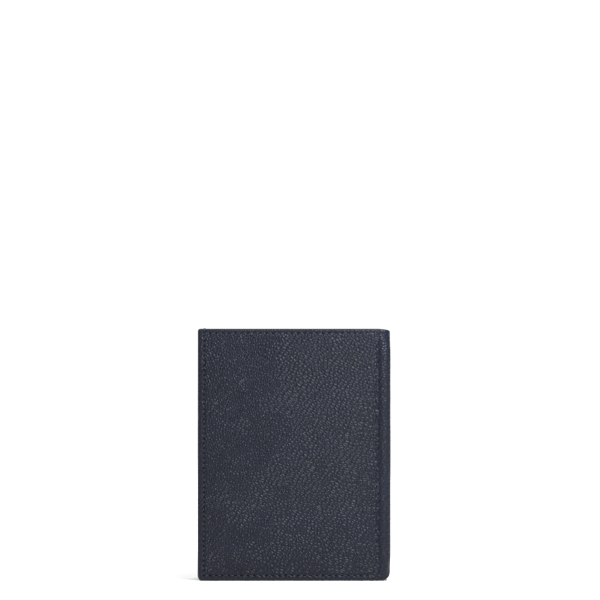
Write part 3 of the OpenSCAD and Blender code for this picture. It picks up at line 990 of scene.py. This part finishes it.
class HOLDER_OT_leaf(bpy.types.Operator):
    """Makes the centre leaf: its panel and sewn flange, its window's hems, film and frame"""
    bl_idname = "holder.leaf"
    bl_label = "Centre leaf"

    def execute(self, context):
        (x0, y0, z0), (panel_x1, y1, z1) = low("leaf_panel"), high("leaf_panel")
        tab_x1 = high("leaf_tab").x
        width, length = tab_x1 - x0, z1 - z0

        def face(near):
            def place(u, v):
                depth = edge_round(rim_of(u, v, width, length), SHEET_T / 2)
                thin = 0.1 * MM * np.exp(-((u - (panel_x1 - x0)) / (0.6 * MM)) ** 2)
                sag = 0.1 * MM * soft_noise(u, v, 20 * MM, 71) * smooth_step(
                    np.minimum(width - u, u) / (12 * MM))
                return x0 + u, (y0 + depth + thin if near else y1 - depth - thin) + sag, z0 + v
            return place
        hinge = [width - k * 0.3 * MM for k in range(4, 16)]
        panel = pillow(
            "leaf_panel_calf", sheet_lines(width, 2 * MM, *hinge), sheet_lines(length, 2 * MM),
            face(True), face(False), BACK, "smooth_calf")
        axis_x = (panel_x1 + low("leaf_tab").x) / 2
        settle(
            panel, ("leaf", "spine", (axis_x - 1.6 * MM, y0, TOP_Z / 2),
                    (axis_x + 0.3 * MM, y0, TOP_Z / 2)), "smooth_leather", "leaf_panel")
        # The flange lies against the spine's lining, to both sides of the leaf
        middle, flange_w = (y0 + y1) / 2, 6.4 * MM
        across = sheet_lines(flange_w, 1.2 * MM)
        up = sheet_lines(length, 3 * MM)

        def flange_face(near):
            def place(u, v):
                depth = edge_round(rim_of(u, v, flange_w, length), 0.2 * MM)
                x = tab_x1 - 0.42 * MM + depth if near else tab_x1 + 0.02 * MM - depth
                return x, middle + flange_w / 2 - u, z0 + v
            return place
        flange = pillow(
            "leaf_flange_calf", across, up, flange_face(True), flange_face(False), BACK, "smooth_calf")
        settle(flange, "spine", "smooth_leather", "leaf_tab")

        hem = low("leaf_window_hem")
        hem_y0, hem_y1 = hem.y - 0.02 * MM, high("leaf_window_hem").y + 0.02 * MM
        w = sizes("pocket").hem_fold
        # One hem up each side, and one along the bottom that runs a little way into both
        spans = ((hem.x, hem.x + w, z1), (LEAF_X1 - w, LEAF_X1, z1),
                 (hem.x + w * 0.6, LEAF_X1 - w * 0.6, z0 + w))
        parts = [
            strip(f"leaf_hem_{k}", BACK, x_low, x_high, hem_y0, hem_y1, z0, top, "smooth_calf")
            for k, (x_low, x_high, top) in enumerate(spans)]
        settle(joined("leaf_window_hems", parts), "leaf", "smooth_leather", "leaf_window_hem")
        film = low("leaf_window_film")
        settle(
            strip("leaf_window_vinyl", BACK, film.x + 0.2 * MM, LEAF_X1 - 0.2 * MM,
                  film.y, high("leaf_window_film").y, z0 + 0.2 * MM, z1 - 0.4 * MM, "clear_vinyl"),
            "leaf", "clear_film", "leaf_window_film")
        window_frame()
        return {"FINISHED"}


# ------------------------ thread

def stitch_tree():
    """Geometry nodes that lay a stitch over each step of a seam line, and a dark disc of painted shade for
    the needle hole where it starts.
    """
    tree = bpy.data.node_groups.new("row of stitches", "GeometryNodeTree")
    for name, kind in (
            ("Seam", "NodeSocketGeometry"), ("Pitch", "NodeSocketFloat"), ("Radius", "NodeSocketFloat"),
            ("Gap", "NodeSocketFloat"), ("Tilt", "NodeSocketFloat"), ("Seed", "NodeSocketInt"),
            ("Thread", "NodeSocketMaterial"), ("Hole", "NodeSocketMaterial")):
        tree.interface.new_socket(name, in_out="INPUT", socket_type=kind)
    tree.interface.new_socket("Geometry", in_out="OUTPUT", socket_type="NodeSocketGeometry")
    start = add(tree, "NodeGroupInput")
    pitch, radius = start.outputs["Pitch"], start.outputs["Radius"]
    stepped = add(
        tree, "GeometryNodeResampleCurve", {"Curve": start.outputs["Seam"], "Length": pitch},
        mode="LENGTH")
    line = add(tree, "GeometryNodeCurveToMesh", {"Curve": stepped})
    ends = add(tree, "GeometryNodeInputMeshEdgeVertices")
    run = add(
        tree, "ShaderNodeVectorMath", {0: ends.outputs["Position 2"], 1: ends.outputs["Position 1"]},
        operation="SUBTRACT")
    marked = add(
        tree, "GeometryNodeStoreNamedAttribute", {"Geometry": line, "Name": "run", "Value": run},
        data_type="FLOAT_VECTOR", domain="EDGE")
    middles = add(tree, "GeometryNodeMeshToPoints", {"Mesh": marked}, mode="EDGES")
    run = add(tree, "GeometryNodeInputNamedAttribute", {0: "run"}, data_type="FLOAT_VECTOR")
    # One stitch: a tube along a low arch that dives into the leather at both ends
    gap = start.outputs["Gap"]
    half = add(tree, "ShaderNodeMath", {0: pitch, 1: 0.5}, operation="MULTIPLY")
    tip = add(tree, "ShaderNodeMath", {0: half, 1: gap}, operation="SUBTRACT")
    back_tip = add(tree, "ShaderNodeMath", {0: tip, 1: -1.0}, operation="MULTIPLY")
    # Its ends lie below the face, its handles above it, and a hole is wider than the thread
    dive, peak, wide = (
        add(tree, "ShaderNodeMath", {0: radius, 1: times}, operation="MULTIPLY")
        for times in (-1.2, 1.4, 1.8))
    arch = add(tree, "GeometryNodeCurvePrimitiveBezierSegment", {
        "Resolution": 8,
        "Start": add(tree, "ShaderNodeCombineXYZ", {0: back_tip, 2: dive}),
        "Start Handle": add(tree, "ShaderNodeCombineXYZ", {0: back_tip, 2: peak}),
        "End Handle": add(tree, "ShaderNodeCombineXYZ", {0: tip, 2: peak}),
        "End": add(tree, "ShaderNodeCombineXYZ", {0: tip, 2: dive}),
    })
    ring = add(tree, "GeometryNodeCurvePrimitiveCircle", {"Resolution": 8, "Radius": radius})
    tube = add(
        tree, "GeometryNodeCurveToMesh", {"Curve": arch, "Profile Curve": ring, "Fill Caps": True})
    tilt = start.outputs["Tilt"]
    lean = add(tree, "ShaderNodeMath", {0: tilt, 1: -1.0}, operation="MULTIPLY")
    jitter = add(
        tree, "FunctionNodeRandomValue", {2: lean, 3: tilt, "Seed": start.outputs["Seed"]},
        data_type="FLOAT").outputs[1]
    along = add(
        tree, "FunctionNodeAlignRotationToVector", {"Vector": run}, axis="X", pivot_axis="Z")
    twist = add(tree, "FunctionNodeAxisAngleToRotation", {"Axis": (0, 0, 1), "Angle": jitter})
    spun = add(
        tree, "FunctionNodeRotateRotation", {"Rotation": along, "Rotate By": twist},
        rotation_space="LOCAL")
    # The needle hole's dark mouth is a flat disc of painted shade, a hair above the leather, so that the
    # face does not hide it
    outer_tip = add(tree, "ShaderNodeMath", {0: half, 1: -1.0}, operation="MULTIPLY")
    pit = add(tree, "GeometryNodeMeshCircle", {"Vertices": 12, "Radius": 1.0}, fill_type="NGON")
    pit = add(tree, "GeometryNodeTransform", {
        0: pit, "Translation": add(tree, "ShaderNodeCombineXYZ", {0: outer_tip, 2: 0.09 * MM}),
        "Scale": add(tree, "ShaderNodeCombineXYZ", {0: gap, 1: wide, 2: 1.0})})
    pit = add(
        tree, "GeometryNodeStoreNamedAttribute", {"Geometry": pit, "Name": "hole", "Value": True},
        data_type="BOOLEAN", domain="FACE")
    stitch = add(tree, "GeometryNodeJoinGeometry", {0: pit})
    tree.links.new(tube.outputs[0], stitch.inputs[0])
    stitches = add(
        tree, "GeometryNodeInstanceOnPoints",
        {"Points": middles, "Instance": stitch, "Rotation": spun})
    whole = add(tree, "GeometryNodeRealizeInstances", {0: stitches})
    whole = add(tree, "GeometryNodeSetShadeSmooth", {"Geometry": whole})
    threaded = add(
        tree, "GeometryNodeSetMaterial", {0: whole, "Material": start.outputs["Thread"]})
    is_hole = add(tree, "GeometryNodeInputNamedAttribute", {0: "hole"}, data_type="BOOLEAN")
    pierced = add(
        tree, "GeometryNodeSetMaterial",
        {0: threaded, "Selection": is_hole, "Material": start.outputs["Hole"]})
    add(tree, "NodeGroupOutput", {0: pierced})
    return tree


def path_curve(name, places):
    """A curve that runs straight from each place to the next."""
    curve = bpy.data.curves.new(name, "CURVE")
    curve.dimensions = "3D"
    spline = curve.splines.new("POLY")
    spline.points.add(len(places) - 1)
    for point, place in zip(spline.points, places):
        point.co = (*place, 1)
    return curve


def sew(name, tree, rows, y, facing, radius):
    """Rows of stitches on a face at y that looks along facing * Y.

    Each row is (pitch, [(x, z, height above the face), ...]), drawn flat, with Z off the face."""
    t = sizes("thread")
    made = []
    for k, (pitch, places) in enumerate(rows):
        line = path_curve(f"{name}_{k}", [(-facing * x, z, height) for x, z, height in places])
        gap = t.gap_up if pitch == t.pitch_up else t.gap_across
        made.append(run_tree(
            shown(f"{name}_{k}", line), tree, pitch=pitch, radius=radius, gap=gap,
            tilt=math.radians(3.0), seed=t.seed + k, thread=finish_of("waxed_thread"),
            hole=finish_of("needle_hole_shade")))
    piece = joined(name, made)
    piece.data.transform(Matrix((
        (-facing, 0, 0, 0), (0, 0, facing, y), (0, 1, 0, 0), (0, 0, 0, 1))))
    return piece


def row(pitch, x0, z0, x1, z1, height=None, count=60):
    """A straight row of stitches, whose line follows the height of the face."""
    places = []
    for k in range(count + 1):
        x, z = x0 + (x1 - x0) * k / count, z0 + (z1 - z0) * k / count
        places.append((x, z, height(x, z) if height else 0.0))
    return pitch, places


def edge_stitch(side):
    """The stitch that is carried over the top edge at the end of the free edge's seam."""
    t = sizes("thread")
    # How deep each place lies behind the cover's face, and how far above its top, in mm
    path = [(-0.1, -2.2), (-0.35, -1.2), (-0.2, -0.35), (0.35, 0.12), (1.0, 0.22), (1.65, 0.12),
            (2.2, -0.35), (2.3, -1.2), (2.1, -2.2)]
    curve = path_curve("edge_stitch", [
        (FREE_X + t.from_edge, side * (HALF_T - depth * MM), TOP_Z + rise * MM)
        for depth, rise in path])
    curve.bevel_depth = t.radius * 1.1
    curve.bevel_resolution = 2
    curve.use_fill_caps = True
    holder = shown("edge_stitch", curve)
    mesh = bpy.data.meshes.new_from_object(holder)
    bpy.data.objects.remove(holder)
    mesh.materials.clear()
    mesh.materials.append(finish_of("waxed_thread"))
    mesh.polygons.foreach_set("use_smooth", [True] * len(mesh.polygons))
    return shown("edge_stitch", mesh)


class HOLDER_OT_thread(bpy.types.Operator):
    """Sews the covers' outer seams, the pages' seams and the leaf's seam"""
    bl_idname = "holder.thread"
    bl_label = "Thread"

    def execute(self, context):
        t, p = sizes("thread"), sizes("pocket")
        tree = stitch_tree()

        def face(x, z):
            return -float(outer_depth(np.array(x - FREE_X), np.array(z)))
        for side in (BACK, FRONT):
            rows = [row(pitch, FREE_X + u0, v0, FREE_X + u1, v1, face)
                    for pitch, (u0, v0), (u1, v1) in seam_rows()]
            name = SIDE_NAME[side]
            seam = sew(name + "_outer_stitches", tree, rows, side * HALF_T, side, t.radius)
            seam = joined(name + "_outer_stitches", [seam, edge_stitch(side)])
            settle(seam, COVER[side], "thread", name + "_edge_thread")

            # The pages' seam steps down from each pocket to the next
            base = -back_half(POCKETS[side][-1])[1]
            levels = [PAGE_Z0] + [high(node).z for node in reversed(POCKETS[side])] + [PAGE_Z1]
            x_free, x_fold = FREE_X + t.from_edge, PAGE_X1 - p.hem_fold / 2
            rows = [row(t.pitch_across, x_free, t.from_bottom, x_fold, t.from_bottom)]
            for k in range(len(levels) - 1):
                start = t.from_bottom if k == 0 else levels[k] + 0.3 * MM
                for x in (x_free, x_fold):
                    rows.append(row(
                        t.pitch_up, x, start, x, levels[k + 1] - 0.9 * MM,
                        lambda x, z, k=k: -k * LAYER_T))
            inner = sew(
                name + "_page_stitches", tree, rows, -side * -base, -side, t.radius * 0.85)
            settle(inner, COVER[side], "thread", name + "_inner_thread")
        leaf = low("leaf_window_frame")
        inset = 1.5 * MM
        lx0, lx1 = leaf.x + inset, LEAF_X1 - inset
        lz0, lz1 = leaf.z + inset, high("leaf_window_frame").z - inset
        rows = [
            row(t.pitch_up, lx0, lz0, lx0, lz1), row(t.pitch_up, lx1, lz0, lx1, lz1),
            row(t.pitch_across, lx0, lz0, lx1, lz0)]
        settle(
            sew("leaf_stitches", tree, rows, leaf.y, -1, t.radius * 0.8), "leaf", "thread", "leaf_thread")
        return {"FINISHED"}


# ------------------------ the stage

class HOLDER_OT_stage(bpy.types.Operator):
    """Makes the pale floor, the soft studio light and the camera"""
    bl_idname = "holder.stage"
    bl_label = "Stage"

    def execute(self, context):
        s = sizes("stage")
        tree, finish = new_material("painted_floor", Specular_IOR_Level=0.0, Roughness=0.9)
        place = add(tree, "ShaderNodeTexCoord").outputs["Object"]
        mottle = add(tree, "ShaderNodeTexNoise", {"Vector": place, "Scale": 3.0})
        paint = finish(mottle, linear("#fcfcfc"), linear("#ffffff"))
        turn = np.linspace(0, 2 * math.pi, 97)[:-1]
        ring = np.stack([s.floor * np.cos(turn), s.floor * np.sin(turn), 0 * turn], axis=-1)
        floor = piece_from("floor", ring, [tuple(range(96))])
        floor.data.materials.append(paint)

        # A bright ceiling over a dim room: the floor goes white while the leather stays dark
        world = bpy.data.worlds.new("studio")
        world.use_nodes = True
        sky = world.node_tree
        background = sky.nodes["Background"]
        up = add(sky, "ShaderNodeSeparateXYZ", {0: add(sky, "ShaderNodeTexCoord")}).outputs[2]
        ceiling = add(
            sky, "ShaderNodeMapRange", {0: up, 1: 0.35, 2: 0.85, 3: 0.1, 4: 1.62},
            interpolation_type="SMOOTHSTEP")
        seen = add(sky, "ShaderNodeLightPath").outputs["Is Camera Ray"]
        light = add(sky, "ShaderNodeMix", {0: seen, 2: ceiling, 3: 1.05})
        sky.links.new(light.outputs[0], background.inputs["Strength"])
        background.inputs["Color"].default_value = (1, 1, 1, 1)
        context.scene.world = world

        for name, place, size, power in (
                ("key", (0.16, -0.22, 0.3), 0.09, 1.6), ("fill", (-0.6, 0.9, 0.6), 0.5, 3.0)):
            light = bpy.data.lights.new(name, "AREA")
            light.shape = "SQUARE"
            light.size = size
            light.energy = power
            lamp = shown(name, light)
            lamp.location = place
            aim = Vector((0, 0, TOP_Z / 2)) - Vector(place)
            lamp.rotation_euler = aim.to_track_quat("-Z", "Y").to_euler()
            lamp.visible_camera = False

        lens = bpy.data.cameras.new("camera")
        lens.lens = s.lens
        lens.sensor_width = 36
        lens.clip_start, lens.clip_end = 0.05, 50
        camera = shown("camera", lens)
        camera.location = (s.aside, -HALF_T - s.distance, s.height)
        camera.rotation_euler = (math.pi / 2 + s.pitch, 0, 0)
        context.scene.camera = camera
        context.scene.view_settings.view_transform = "Standard"
        return {"FINISHED"}


class HOLDER_PT_sidebar(bpy.types.Panel):
    """Lists the card holder's pieces and their sizes"""
    bl_idname = "HOLDER_PT_sidebar"
    bl_label = "Card holder"
    bl_space_type = "VIEW_3D"
    bl_region_type = "UI"
    bl_category = "Card holder"

    def draw(self, context):
        for operator in OPERATORS:
            self.layout.operator(operator.bl_idname)
        for name in GROUPS:
            box = self.layout.box()
            group = sizes(name)
            for key in group.__annotations__:
                box.prop(group, key)


GROUPS = {
    "leather": LeatherSizes, "thread": ThreadSizes, "pocket": PocketSizes, "colours": Colours,
    "stage": StageSizes}
OPERATORS = [
    HOLDER_OT_outer_leather, HOLDER_OT_boards, HOLDER_OT_lining, HOLDER_OT_pages, HOLDER_OT_leaf,
    HOLDER_OT_thread, HOLDER_OT_stage]


def register():
    for cls in [*GROUPS.values(), *OPERATORS, HOLDER_PT_sidebar]:
        bpy.utils.register_class(cls)
    for name, cls in GROUPS.items():
        setattr(bpy.types.Scene, "card_holder_" + name, PointerProperty(type=cls))


def unregister():
    for name in GROUPS:
        delattr(bpy.types.Scene, "card_holder_" + name)
    for cls in [HOLDER_PT_sidebar, *reversed(OPERATORS), *GROUPS.values()]:
        bpy.utils.unregister_class(cls)


def main():
    register()
    for operator in OPERATORS:
        group, name = operator.bl_idname.split(".")
        getattr(getattr(bpy.ops, group), name)()


if __name__ == "__main__":
    main()
